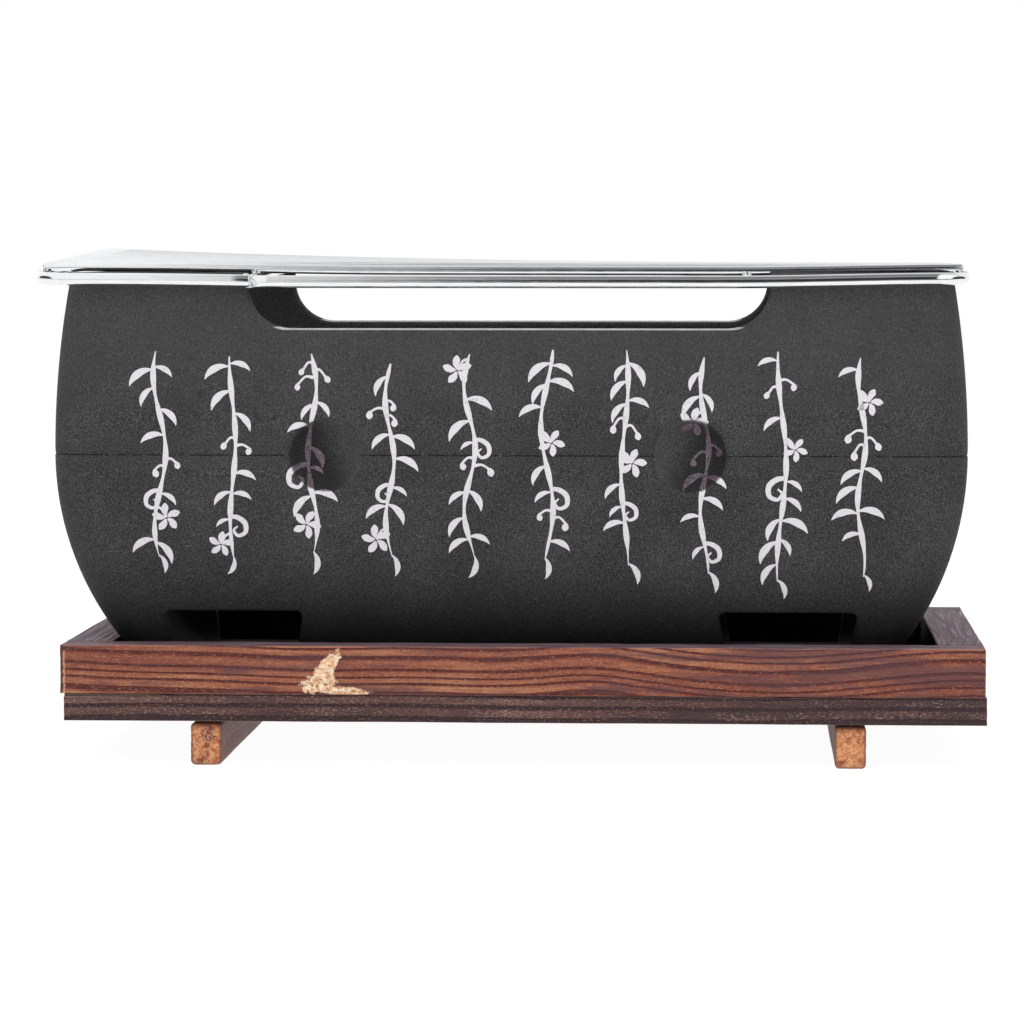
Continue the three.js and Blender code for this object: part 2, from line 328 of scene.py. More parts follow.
class Shader(Nodes):
    """One material. Its x, y, z and place are the object's own, in millimetres."""

    def __init__(self, name, **constants):
        self.material = bpy.data.materials.new(name)
        self.material.use_nodes = True
        super().__init__(self.material.node_tree)
        self.surface = self.tree.nodes["Principled BSDF"]
        self.set(**constants)
        made = self.tree.nodes.new("ShaderNodeVectorMath")
        made.operation = "SCALE"
        self.feed(made.inputs[0], self.add("TexCoord").outputs["Object"])
        self.feed(made.inputs["Scale"], 1 / MM)
        self.place = made.outputs["Vector"]
        self.x, self.y, self.z = self.add("SeparateXYZ", Vector=self.place).outputs
        self.geometry = self.add("NewGeometry")

    def set(self, **inputs):
        for name, value in inputs.items():
            self.feed(self.surface.inputs[name.replace("_", " ")], value)

    def stretched(self, sx, sy, sz):
        """The place in millimetres, with each axis scaled."""
        made = self.tree.nodes.new("ShaderNodeVectorMath")
        made.operation = "MULTIPLY"
        self.feed(made.inputs[0], self.place)
        self.feed(made.inputs[1], (sx, sy, sz))
        return made.outputs["Vector"]

    def noise(self, where, scale=1.0, detail=3.0, roughness=0.5):
        made = self.add("TexNoise", Vector=where, Scale=scale, Detail=detail, Roughness=roughness)
        return made.outputs[0]

    def cells(self, where, scale=1.0):
        made = self.add("TexVoronoi", Vector=where, Scale=scale)
        return made.outputs["Distance"]

    def bump(self, height, distance, under=None):
        made = self.add("Bump", Height=height, Distance=distance * MM)
        if under:
            self.feed(made.inputs["Normal"], under)
        return made.outputs["Normal"]

    def facing(self, axis):
        """How far the surface faces along an axis, either way."""
        split = self.add("SeparateXYZ", Vector=self.geometry.outputs["Normal"])
        return self.math("ABSOLUTE", split.outputs[axis])

    def edges(self):
        """1 on the rounding between two faces and 0 on the faces."""
        faces = [self.facing(axis) for axis in range(3)]
        flat = self.math("MAXIMUM", self.math("MAXIMUM", faces[0], faces[1]), faces[2])
        return self.fade(self.math("SUBTRACT", 1.0, flat), 0.02, 0.22)


# ---- Materials -------------------------------------------------------------


def near_dimple(s):
    """1 inside the dimples of the front and rear faces and 0 outside them."""
    dx = s.minus(s.math("ABSOLUTE", s.x), DIMPLE_X)
    dz = s.minus(s.z, DIMPLE_Z)
    reach = s.length(dx, dz)
    return s.rest(s.fade(reach, DIMPLE_OPENING - 0.5, DIMPLE_OPENING + 0.3))


def cast_coating():
    """Black sand-textured coating, with painted light and shade: lighter towards the top, darker towards
    the base, dimples painted dark and lighter on their inner and upper sides, and a painted highlight along
    the notches' bottom edges.
    """
    s = Shader("cast_coating", Metallic=0.0, Specular_IOR_Level=0.2)
    grain = s.noise(s.place, 3.0, 4.0, 0.75)
    pits = s.cells(s.place, 2.2)
    cloud = s.noise(s.place, 0.05, 3.0)
    level = s.math("ADD", s.times(grain, 0.9), s.times(cloud, 0.1))
    stops = [(0.36, tone(26, 26, 27)), (0.5, tone(60, 60, 60)), (0.66, tone(108, 108, 108))]
    colour = s.ramp(level, stops)
    # Painted light: the upper part of the casting is made lighter.
    top_painted_light = s.times(s.fade(s.z, 80.0, 112.0), 0.3)
    colour = s.mix(top_painted_light, colour, tone(84, 84, 84))
    # Painted shade: the casting is darkened towards its base.
    base_painted_shade = s.rest(s.fade(s.z, 27.0, 56.0))
    colour = s.mix(s.times(base_painted_shade, 0.84), colour, tone(10, 10, 10))
    # Painted light and shade in the dimples: dark, and lighter on the side nearer the middle of the casting
    # and towards the top.
    dimple = near_dimple(s)
    inward = s.minus(DIMPLE_X, s.math("ABSOLUTE", s.x))
    dimple_lit_reach = s.scaled(s.minus(s.z, DIMPLE_Z), 0.45, inward)
    dimple_painted_light = s.times(s.fade(dimple_lit_reach, -2.5, 8.5), s.spread(s.fade(grain, 0.4, 0.62), 0.3, 1.0))
    dimple_painted_shading = s.mix(dimple_painted_light, tone(36, 36, 37), tone(128, 128, 128))
    colour = s.mix(s.times(dimple, 0.6), colour, dimple_painted_shading)
    gap = s.noise(s.stretched(0.3, 0.3, 0.0), 1.0, 2.0)
    near = s.gap(s.z, PARTING_Z)
    line = s.rest(s.fade(near, 0.06, 0.22))
    line = s.times(line, s.fade(gap, 0.36, 0.5))
    line = s.times(line, s.rest(dimple))
    colour = s.mix(line, colour, tone(22, 22, 23))
    # Painted highlight along the bottom edge of each notch where it faces up: a near-white line coloured
    # like bare metal.
    sill = s.rest(s.fade(s.gap(s.z, NOTCH_BOTTOM), 0.25, 0.5))
    bare = s.times(sill, s.fade(s.facing(2), 0.45, 0.8))
    bare = s.times(bare, s.spread(s.noise(s.stretched(0.2, 0.2, 0.2), 1.0, 3.0), 0.5, 1.2), clamp=True)
    s.set(Base_Color=s.mix(bare, colour, tone(216, 216, 214)))
    s.set(Roughness=s.spread(grain, 0.5, 0.85))
    rough = s.bump(grain, 0.5)
    s.set(Normal=s.bump(pits, 0.3, rough))
    return s.material


def printed_white():
    """White printed ink: worn to the grain here and there, and darkened with painted shade in the dimples.
    """
    s = Shader("printed_white", Metallic=0.0)
    wear = s.noise(s.place, 1.6, 4.0, 0.6)
    ink = s.ramp(wear, [(0.3, tone(172, 168, 174)), (0.45, tone(204, 201, 205))])
    # Painted shade: the ink inside the dimples is darkened.
    thin = s.ramp(wear, [(0.35, tone(52, 44, 49)), (0.6, tone(112, 98, 106))])
    s.set(Base_Color=s.mix(near_dimple(s), ink, thin))
    s.set(Roughness=s.spread(wear, 0.35, 0.6))
    s.set(Normal=s.bump(wear, 0.06))
    return s.material


def polished_wire():
    """Bright plated wire with faint drawing marks."""
    s = Shader("polished_wire", Metallic=1.0)
    marks = s.noise(s.stretched(0.2, 4.0, 4.0), 1.0, 3.0)
    s.set(Base_Color=s.ramp(marks, [(0.3, tone(222, 224, 226)), (0.7, tone(240, 241, 242))]))
    s.set(Roughness=s.spread(marks, 0.04, 0.14))
    s.set(Normal=s.bump(marks, 0.01))
    return s.material


def blackened_steel():
    """Sheet steel darkened by heat, with bluish and brown patches and a dust of ash."""
    s = Shader("blackened_steel", Metallic=0.85)
    patches = s.noise(s.place, 0.035, 4.0, 0.6)
    ash = s.fade(s.noise(s.place, 0.6, 4.0, 0.7), 0.56, 0.72)
    colour = s.ramp(patches, [(0.3, tone(62, 60, 66)), (0.5, tone(74, 70, 68)), (0.68, tone(92, 78, 66))])
    s.set(Base_Color=s.mix(s.times(ash, 0.5), colour, tone(128, 124, 120)))
    s.set(Roughness=s.spread(ash, 0.42, 0.8))
    s.set(Normal=s.bump(s.noise(s.place, 0.8, 4.0), 0.05))
    return s.material


def zinc_steel():
    """Zinc-plated fastener steel."""
    s = Shader("zinc_steel", Metallic=1.0)
    bloom = s.noise(s.place, 0.9, 4.0)
    s.set(Base_Color=s.ramp(bloom, [(0.3, tone(150, 150, 146)), (0.7, tone(196, 196, 190))]))
    s.set(Roughness=s.spread(bloom, 0.28, 0.5))
    return s.material


class Grain:
    """Growth rings round a pith that lies along a timber, wandering a little on the way.
    The same rings set the relief of a mesh and the colours of its material."""

    def __init__(self, axis, pith, spacing, waves, humps=()):
        self.axis = axis
        self.pith = pith
        self.spacing = spacing
        self.waves = waves
        self.humps = humps

    def phase_at(self, points):
        along = points[:, self.axis]
        across = points[:, 1 - self.axis]
        up = points[:, 2].copy()
        for height, length, start in self.waves:
            up += height * np.sin(along * 2 * math.pi / length + start)
        for height, middle, width in self.humps:
            up -= height * np.exp(-(((along - middle) / width) ** 2))
        even = np.hypot(across - self.pith[0], up - self.pith[1]) / self.spacing
        return even + 0.3 * np.sin(even * 1.7) + 0.25 * np.sin(even * 0.63)

    def phase_in(self, s):
        along, across = (s.x, s.y) if self.axis == 0 else (s.y, s.x)
        up = s.z
        for height, length, start in self.waves:
            turn = s.scaled(along, 2 * math.pi / length, start)
            up = s.scaled(s.math("SINE", turn), height, up)
        for height, middle, width in self.humps:
            reach = s.math("DIVIDE", s.minus(along, middle), width)
            swell = s.math("POWER", math.e, s.times(s.times(reach, reach), -1.0))
            up = s.scaled(swell, -height, up)
        side = s.math("POWER", s.minus(across, self.pith[0]), 2.0)
        rise = s.math("POWER", s.minus(up, self.pith[1]), 2.0)
        even = s.math("DIVIDE", s.math("SQRT", s.math("ADD", side, rise)), self.spacing)
        phase = s.scaled(s.math("SINE", s.times(even, 1.7)), 0.3, even)
        return s.scaled(s.math("SINE", s.times(even, 0.63)), 0.25, phase)


def along_grain(s, grain, fine, coarse):
    """Places stretched along the timber, for streaks."""
    scale = [fine, fine, fine]
    scale[grain.axis] = coarse
    return s.stretched(*scale)


def inner_faces(s, grain):
    """1 on the faces that look into the tray and 0 elsewhere."""
    if grain.axis == 0:
        reach = s.math("ABSOLUTE", s.y)
        inner = RAIL_INNER_Y
    else:
        reach = s.gap(s.x, TRAY_X)
        inner = RAIL_INNER_X
    return s.rest(s.fade(reach, inner + 0.2, inner + 0.8))


class Timber:
    """The colours of one kind of scorched timber, by name."""

    def __init__(self, **colours):
        vars(self).update(colours)


def scorched_wood(name, grain, kind, finish=None, inside=False, flecked=0.0):
    """Brushed, scorched softwood: dark late rings that fade to a lighter early wood,
    reddish streaks, charred patches, lighter worn edges that also stand in for highlights,
    and, with inside set, painted shade on the faces that look into the tray."""
    s = Shader(name, Metallic=0.0, Specular_IOR_Level=0.25)
    streaks = s.noise(along_grain(s, grain, 1.6, 0.05), 1.0, 5.0, 0.7)
    fibres = s.noise(along_grain(s, grain, 5.0, 0.5), 1.0, 4.0, 0.7)
    drift = s.noise(along_grain(s, grain, 0.5, 0.05), 1.0, 4.0, 0.6)
    broad = s.noise(along_grain(s, grain, 0.1, 0.02), 1.0, 4.0, 0.6)
    ring = s.math("FRACT", s.scaled(drift, 0.35, grain.phase_in(s)))
    off_line = s.gap(ring, LATE_RING)
    off_line = s.scaled(s.minus(fibres, 0.5), 0.14, off_line)
    late = s.rest(s.fade(off_line, 0.03, 0.17))
    early = s.ramp(broad, [(0.36, kind.early[0]), (0.5, kind.early[1]), (0.64, kind.early[2])])
    colour = s.mix(s.fade(off_line, 0.1, 0.34), kind.edge, early)
    colour = s.mix(s.times(s.fade(streaks, 0.48, 0.7), 0.8), colour, kind.warm)
    colour = s.mix(s.times(late, s.spread(drift, 0.45, 1.15), clamp=True), colour, kind.late)
    colour = s.mix(s.times(s.fade(fibres, 0.5, 0.72), 0.35), colour, kind.late)
    grit = s.noise(along_grain(s, grain, 3.2, 1.1), 1.0, 4.0, 0.8)
    colour = s.mix(s.times(s.fade(grit, 0.46, 0.32), 0.75), colour, kind.late)
    colour = s.mix(s.times(s.fade(grit, 0.54, 0.68), 0.6), colour, kind.fleck)
    scorch = s.noise(along_grain(s, grain, 0.22, 0.03), 1.0, 5.0, 0.65)
    scorch = s.math("ADD", scorch, s.times(s.fade(s.x, 30.0, 80.0), 0.1))
    charred = s.times(s.fade(scorch, 0.5, 0.64), 0.75)
    colour = s.mix(s.times(charred, s.spread(fibres, 0.75, 1.1), clamp=True), colour, kind.char)
    top = s.fade(s.facing(2), 0.6, 0.95)
    pale = s.fade(s.noise(along_grain(s, grain, 1.1, 0.035), 1.0, 5.0, 0.7), 0.48, 0.64)
    upper = s.mix(s.times(pale, 0.8), kind.top, kind.pale_top)
    upper = s.mix(s.times(late, 0.4), upper, kind.late)
    colour = s.mix(s.times(top, 0.94), colour, upper)
    # Painted shade: the faces that look into the tray are darkened nearly to black.
    if inside:
        colour = s.mix(inner_faces(s, grain), colour, tone(16, 11, 10))
    if flecked:
        chips = s.noise(along_grain(s, grain, 4.0, 1.0), 1.0, 3.0, 0.75)
        patchy = s.fade(s.noise(along_grain(s, grain, 0.1, 0.05), 1.0, 2.0), 0.4, 0.56)
        chips = s.times(s.times(s.fade(chips, 0.55, 0.66), patchy), s.fade(off_line, 0.12, 0.3))
        colour = s.mix(s.times(chips, flecked), colour, kind.fleck)
    # Lighter worn edges, which also stand in for painted highlights along the rounded edges.
    worn = s.times(s.edges(), s.fade(streaks, 0.38, 0.56))
    colour = s.mix(s.times(worn, 0.6), colour, kind.fleck)
    height = s.scaled(late, -0.7, s.times(fibres, 0.6))
    if finish:
        colour, height = finish(s, colour, height)
    s.set(Base_Color=colour)
    s.set(Roughness=s.spread(fibres, 0.42, 0.72))
    s.set(Normal=s.bump(height, 0.3))
    return s.material


# The bare patch on the front rail: where a knot broke out of the scorched skin.
# Each ellipse is (middle x, middle z, half length, half width, tilt in degrees).
KNOT_ELLIPSES = [
    (-46.4, 24.4, 6.6, 2.3, 58.0),
    (-48.0, 21.4, 5.2, 2.5, 10.0),
    (-43.2, 19.6, 8.8, 1.2, -4.0),
]


def knot_frames():
    """For each ellipse, the (x, z, constant) factors of its two coordinates, which are 1
    at its ends."""
    for x, z, length, width, tilt in KNOT_ELLIPSES:
        cosine, sine = math.cos(math.radians(tilt)), math.sin(math.radians(tilt))
        yield [
            (along, up, -along * x - up * z)
            for along, up in ((cosine / length, sine / length), (-sine / width, cosine / width))
        ]


def knot_closeness(x, z):
    """1 in the middle of the bare patch, 0 at its outline and below 0 outside."""
    best = np.full(np.shape(x), -9.0)
    for frame_uv in knot_frames():
        u, v = [x * along + z * up + constant for along, up, constant in frame_uv]
        best = np.maximum(best, 1 - np.hypot(u, v))
    return best


def front_rail_marks(s, colour, height):
    """The bare knot patch, and the corner at the left end where the skin is worn off."""
    best = -9.0
    for frame_uv in knot_frames():
        u, v = [
            s.scaled(s.x, along, s.scaled(s.z, up, constant))
            for along, up, constant in frame_uv
        ]
        best = s.math("MAXIMUM", best, s.rest(s.length(u, v)))
    ragged = s.noise(s.place, 0.6, 4.0, 0.65)
    front = s.math("GREATER_THAN", s.times(s.y, -1.0), -FRONT_FACE_Y - 2.0)
    edge = s.scaled(s.minus(ragged, 0.5), 1.3, best)
    mask = s.times(s.fade(edge, 0.0, 0.16), front)
    splinters = s.noise(s.stretched(0.8, 0.8, 1.1), 1.0, 5.0, 0.7)
    stops = [(0.36, tone(176, 118, 84)), (0.46, tone(222, 176, 138)), (0.58, tone(246, 222, 194))]
    pale = s.ramp(splinters, stops)
    low_down = s.rest(s.fade(s.z, 21.0, 24.5))
    pits = s.times(s.fade(s.noise(s.place, 1.1, 4.0, 0.7), 0.54, 0.62), low_down)
    pale = s.mix(s.times(pits, 0.85), pale, tone(84, 46, 34))
    corner = s.minus(s.x, FRONT_LEFT_X)
    corner = s.scaled(s.minus(ragged, 0.5), 0.8, corner)
    strip = s.times(s.fade(corner, 0.8, 1.0), s.rest(s.fade(corner, 1.2, 1.5)))
    strip = s.times(strip, s.spread(ragged, 0.3, 1.2), clamp=True)
    below = s.rest(s.fade(s.z, RAIL_TOP - 2.0, RAIL_TOP - 1.0))
    skin = s.times(s.rest(s.fade(corner, 0.6, 0.9)), front)
    colour = s.mix(s.times(skin, 0.8), colour, tone(78, 48, 50))
    colour = s.mix(s.times(s.times(strip, below), front), colour, tone(198, 146, 116))
    rough = s.times(splinters, 1.4)
    return s.mix(mask, colour, pale), s.math("ADD", height, s.times(mask, rough))


# ---- Wooden tray -----------------------------------------------------------

LATE_RING = 0.82  # where in each ring the dark late wood lies, from 0 to 1
FRONT_LEFT_X, FRONT_FACE_Y = box_mm("front_rail")[0][:2]

RAIL_WOOD = Timber(
    late=tone(62, 26, 30),
    edge=tone(116, 60, 48),
    early=(tone(122, 70, 56), tone(146, 90, 68), tone(168, 114, 84)),
    warm=tone(132, 60, 46),
    fleck=tone(198, 146, 114),
    char=tone(82, 54, 60),
    top=tone(100, 82, 90),
    pale_top=tone(160, 146, 158),
)
BOARD_WOOD = Timber(
    late=tone(40, 26, 30),
    edge=tone(64, 42, 43),
    early=(tone(66, 46, 47), tone(82, 58, 56), tone(98, 70, 66)),
    warm=tone(76, 44, 44),
    fleck=tone(184, 154, 138),
    char=tone(54, 40, 44),
    top=tone(70, 52, 54),
    pale_top=tone(120, 104, 108),
)


def stops_along(low, high, step, rounding):
    """Grid lines from low to high: close together over the rounded edges, even between."""
    edge = [rounding * part for part in (0.0, 0.25, 0.6)]
    count = max(1, round((high - low - 2 * rounding) / step))
    inner = np.linspace(low + rounding, high - rounding, count + 1)
    return np.array([low + e for e in edge] + list(inner) + [high - e for e in reversed(edge)])


def grid_block(low, high, steps, rounding):
    """The surface of a block as a grid: its points, as (n, 3), and its faces."""
    lines = [stops_along(low[axis], high[axis], steps[axis], rounding) for axis in range(3)]
    found = {}
    faces = []

    def vertex(key):
        return found.setdefault(key, len(found))

    for axis in range(3):
        u_axis, v_axis = [other for other in range(3) if other != axis]
        for end in (0, len(lines[axis]) - 1):
            for u in range(len(lines[u_axis]) - 1):
                for v in range(len(lines[v_axis]) - 1):
                    face = []
                    for du, dv in ((0, 0), (1, 0), (1, 1), (0, 1)):
                        key = [0, 0, 0]
                        key[axis] = end
                        key[u_axis] = u + du
                        key[v_axis] = v + dv
                        face.append(vertex(tuple(key)))
                    faces.append(tuple(face))
    keys = np.array(list(found))
    points = np.stack([lines[axis][keys[:, axis]] for axis in range(3)], axis=1)
    return points, faces


def wander(points, size, seed):
    """Soft noise from -1 to 1 at each point."""
    shift = Vector((seed * 7.3, seed * 3.1, seed * 5.7))
    return np.array([noise.noise(Vector(point) / size + shift) for point in points])


def timber(
    node, grain, material, rounding, steps, relief, seed, carve=None, lower=(0, 0, 0), upper=(0, 0, 0)
):
    """A piece of wood in the place of a CAD block: rounded and softened edges, and rings
    that stand in relief on every face. lower and upper move its two corners outwards."""
    low, high = box_mm(node)
    low = low - np.array(lower)
    high = high + np.array(upper)
    points, faces = grid_block(low, high, steps, rounding)
    core = np.clip(points, low + rounding, high - rounding)
    outward = points - core
    outward /= np.maximum(np.linalg.norm(outward, axis=1), 1e-9)[:, None]
    ring = grain.phase_at(points) % 1.0
    groove = np.exp(-(((ring - LATE_RING) / 0.1) ** 2))
    stretch = np.array([1.0, 1.0, 1.0])
    stretch[grain.axis] = 0.12
    fibre = wander(points * stretch, 1.1, seed)
    wear = wander(points * stretch, 4.0, seed + 1)
    depth = rounding - relief * (groove + 0.35 * (fibre + 1)) - 0.08 * (wear + 1)
    if carve is not None:
        depth -= carve(points)
    return make_object(node + "_timber", core + outward * depth[:, None], faces, material, 50.0)


def carve_knot(points):
    """How deep the bare patch is broken out of the front rail's face."""
    front = points[:, 1] < points[:, 1].min() + 1.0
    patch = np.clip(knot_closeness(points[:, 0], points[:, 2]) * 3, 0, 1)
    splinters = 0.6 + 0.6 * wander(points, 1.3, 9)
    return np.where(front, patch * splinters * 0.5, 0.0)


def carve_crack(points):
    """The open joint at the left end, where the board's top edge has broken away."""
    low, high = box_mm("base_board")
    front = points[:, 1] < low[1] + 1.0
    near_top = np.clip((points[:, 2] - high[2] + 0.9) / 0.5, 0, 1)
    near_end = np.clip((low[0] + 27.0 - points[:, 0]) / 4.0, 0, 1)
    return np.where(front, 0.7 * near_top * near_end, 0.0)


def wooden_tray():
    rolling = [(1.9, -118.0, 40.0), (1.0, 22.0, 13.0), (-3.4, 68.0, 27.0)]
    front_grain = Grain(0, (-40.0, -6.0), 2.0, [(0.2, 47.0, 2.0)], rolling)
    rear_grain = Grain(0, (96.0, 60.0), 2.1, [(0.8, 170.0, 1.0), (0.3, 60.0, 0.0)])
    left_grain = Grain(1, (-150.0, -10.0), 1.8, [(0.6, 90.0, 0.0), (0.2, 33.0, 1.0)])
    right_grain = Grain(1, (90.0, 75.0), 2.0, [(0.7, 110.0, 2.0), (0.2, 37.0, 0.5)])
    board_grain = Grain(0, (12.0, -60.4), 2.9, [(0.25, 200.0, 0.0), (0.1, 61.0, 1.4)])
    made = []
    for node, grain, marks, carve in (
        ("front_rail", front_grain, front_rail_marks, carve_knot),
        ("rear_rail", rear_grain, None, None),
        ("left_rail", left_grain, None, None),
        ("right_rail", right_grain, None, None),
    ):
        skin = scorched_wood(node + "_wood", grain, RAIL_WOOD, marks, True)
        steps = [2.6, 0.5, 0.4] if grain.axis == 0 else [0.5, 2.2, 0.45]
        rail = timber(node, grain, skin, 0.35, steps, 0.14, len(made) + 1, carve, lower=(0, 0, 0.3))
        made.append((node, rail, "charred_wood"))
    skin = scorched_wood("base_board_wood", board_grain, BOARD_WOOD, None, False, 0.7)
    steps = [3.0, 1.2, 0.45]
    board = timber("base_board", board_grain, skin, 0.3, steps, 0.12, 6, carve_crack, upper=(1.2, 0, 0.2))
    made.append(("base_board", board, "dark_wood"))
    for node, seed in (("left_foot", 7), ("right_foot", 8)):
        middle = sum(box_mm(node))[0] / 2
        grain = Grain(1, (middle - 9.0, 21.0), 1.7, [(0.5, 80.0, seed), (0.15, 31.0, 0.0)])
        skin = foot_wood(node + "_wood", grain)
        made.append((node, timber(node, grain, skin, 1.4, [0.5, 1.8, 0.5], 0.1, seed), "foot_wood"))
    for node, piece, slot in made:
        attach(piece, "wood_base")
        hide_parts(node)


def foot_wood(name, grain):
    """A skid: scorched dark along its sides, with bare orange end grain."""
    s = Shader(name, Metallic=0.0)
    drift = s.noise(s.stretched(0.5, 0.05, 0.5), 1.0, 3.0)
    ring = s.math("FRACT", s.scaled(drift, 1.2, grain.phase_in(s)))
    blotch = s.noise(s.place, 0.22, 4.0, 0.6)
    pores = s.noise(s.place, 1.5, 4.0, 0.75)
    veins = s.gap(s.noise(s.place, 0.42, 5.0, 0.7), 0.5)
    stops = [(0.38, tone(108, 56, 38)), (0.46, tone(164, 94, 58)), (0.56, tone(196, 128, 82))]
    end = s.ramp(blotch, stops)
    end = s.mix(s.times(s.fade(ring, 0.55, 0.9), 0.4), end, tone(124, 66, 42))
    end = s.mix(s.times(s.rest(s.fade(veins, 0.006, 0.03)), 0.55), end, tone(230, 188, 146))
    end = s.mix(s.times(s.rest(s.fade(pores, 0.34, 0.44)), 0.5), end, tone(84, 44, 32))
    shade = s.times(s.fade(s.z, 8.6, 10.8), 0.6)
    end = s.mix(shade, end, tone(96, 52, 40))
    fibres = s.noise(s.stretched(3.0, 0.15, 3.0), 1.0, 4.0)
    side = s.ramp(fibres, [(0.3, tone(78, 46, 42)), (0.5, tone(104, 66, 60)), (0.7, tone(146, 98, 84))])
    is_end = s.fade(s.facing(1), 0.35, 0.7)
    colour = s.mix(is_end, side, end)
    rim = s.times(s.edges(), s.fade(pores, 0.35, 0.55))
    s.set(Base_Color=s.mix(s.times(rim, 0.7), colour, tone(104, 60, 48)))
    s.set(Roughness=s.spread(fibres, 0.5, 0.75))
    s.set(Normal=s.bump(s.math("ADD", pores, blotch), 0.16))
    return s.material


# ---- Fasteners of the tray -------------------------------------------------


def nail_shape(low, high):
    """A wire nail that points up, with a slightly domed flat head at the bottom."""
    middle = (low + high) / 2
    radius = (high[0] - low[0]) / 2
    length = high[2] - low[2]
    profile = [
        (0.3, 0.0), (radius - 0.5, 0.02), (radius - 0.12, 0.14), (radius, 0.4), (radius - 0.05, 0.9),
        (radius - 0.4, 1.0), (1.0, 1.05), (0.9, 1.4), (0.9, length - 2.2), (0.15, length),
    ]
    return turned(profile, (middle[0], middle[1], low[2]), 24)


def screw_shape(low, high):
    """A countersunk wood screw that points down, with a thread and a cross recess."""
    middle = (low + high) / 2
    radius = (high[0] - low[0]) / 2
    length = high[2] - low[2]
    profile = [(0.1, -length), (0.7, -length + 2.5)]
    for turn in range(8):
        start = -length + 3.0 + turn
        profile += [(0.95, start), (1.4, start + 0.3), (0.95, start + 0.6)]
    profile += [(1.2, -2.2), (radius - 0.1, -0.35), (radius, -0.18), (radius - 0.15, 0.0)]
    return turned(profile, (middle[0], middle[1], high[2]), 24)


def cross_recess(low, high):
    """Two crossed wedges that cut the driver recess of a screw."""
    middle = (low + high) / 2
    parts = []
    for long_axis in (0, 1):
        rings = []
        for height, reach, width in ((1.0, 1.9, 0.42), (-0.2, 1.75, 0.36), (-1.4, 0.5, 0.2)):
            half = (reach, width) if long_axis == 0 else (width, reach)
            z = high[2] + height
            rings.append([(middle[0] + u * half[0], middle[1] + v * half[1], z)
                          for u, v in ((-1, -1), (1, -1), (1, 1), (-1, 1))])
        parts.append(loft(rings))
    return parts


def fasteners():
    finish = zinc_steel()
    for i in range(1, 9):
        node = f"rail_nail_{i}"
        piece = make_object(node + "_wire", *nail_shape(*box_mm(node)), finish)
        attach(piece, "wood_base")
        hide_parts(node)
    for i in range(1, 5):
        node = f"foot_screw_{i}"
        low, high = box_mm(node)
        piece = make_object(node + "_threaded", *screw_shape(low, high), finish)
        for part in cross_recess(low, high):
            boolean(piece, [part], "DIFFERENCE")
        soften(piece, 30.0)
        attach(piece, "wood_base")
        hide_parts(node)


# ---- Firebox casting -------------------------------------------------------


def wall_inset(z):
    """How far the side wall is drawn in from its widest level."""
    radius = UPPER_ARC if z > WIDEST_Z else LOWER_ARC
    return radius - math.sqrt(radius**2 - (z - WIDEST_Z) ** 2)


def casting_ring(offset, z, along=78, across=42, corner=8):
    """A ring round the casting at a level, a distance in from its outer face."""
    inset = wall_inset(z) + offset
    radius = BODY_CORNER - 0.5 * min(offset, WALL + 3)
    x = HALF_LENGTH - inset - radius
    y = HALF_DEPTH - inset - radius
    ring = []
    for start, (cx, cy) in enumerate(((x, y), (-x, y), (-x, -y), (x, -y))):
        for step in range(corner + 1):
            angle = (start + step / corner) * math.pi / 2
            ring.append((cx + radius * math.cos(angle), cy + radius * math.sin(angle), z))
        count = along if start % 2 == 0 else across
        here = np.array(ring[-1])
        next_start = ((-x, y + radius), (-x - radius, -y), (x, -y - radius), (x + radius, y))[start]
        there = np.array((*next_start, z))
        ring += [tuple(here + (there - here) * step / count) for step in range(1, count)]
    return ring


def hollow(offset, z, radius, angles):
    """(offset, z) places on a quarter round in the corner of two faces at offset and z."""
    return [(offset + radius * (1 - math.cos(a)), z + radius * (1 - math.sin(a))) for a in angles]


def casting_shell():
    """The whole open box as one skin: up the outside, over the rim, down the inside."""
    edge = CAST_EDGE
    quarter = (0.0, 0.5, 1.0, math.pi / 2)
    places = [(14.0, FLOOR_BOTTOM), (6.0, FLOOR_BOTTOM)]
    for angle in (0.0, 0.4, 0.8, 1.2):
        places.append((3.0 - 3.0 * math.sin(angle), FLOOR_BOTTOM + 3.0 - 3.0 * math.cos(angle)))
    places += [(0.0, z) for z in np.arange(FLOOR_BOTTOM + 3.0, PARTING_Z - 1.5, 3.0)]
    for offset, height in ((0.0, -0.35), (0.12, -0.12), (0.2, 0.1), (0.1, 0.3)):
        places.append((offset, PARTING_Z + height))
    places += [(0.0, z) for z in np.arange(PARTING_Z + 1.5, CASTING_TOP - edge - 1.0, 3.0)]
    rim = [(edge - edge * math.cos(a), CASTING_TOP - edge + edge * math.sin(a)) for a in quarter]
    places += rim
    places += [(WALL - offset, z) for offset, z in reversed(rim)]
    places += [(WALL, z) for z in np.arange(CASTING_TOP - edge - 3.0, FLOOR_TOP + 6.0, -4.0)]
    places += hollow(WALL, FLOOR_TOP, 5.0, quarter)
    places += [(WALL + 14.0, FLOOR_TOP)]
    return loft([casting_ring(offset, z) for offset, z in places])


def mirrored(part, sign_x=1, sign_y=1):
    points, faces = part
    return [(x * sign_x, y * sign_y, z) for x, y, z in points], faces


def dimple_profile(radius, depths):
    """(radius, depth) pairs of a ball centred outside the wall, at depths in from its face."""
    centre = DIMPLE_DEPTH - DIMPLE_RADIUS
    return [(math.sqrt(max(radius**2 - (depth - centre) ** 2, 0.0)), depth) for depth in depths]


def ball_depths(radius, start, steps):
    """Depths from start to the ball's far end, closer together towards the end."""
    centre = DIMPLE_DEPTH - DIMPLE_RADIUS
    first = math.acos((start - centre) / radius)
    return [centre + radius * math.cos(first * (1 - step / steps)) for step in range(steps)]


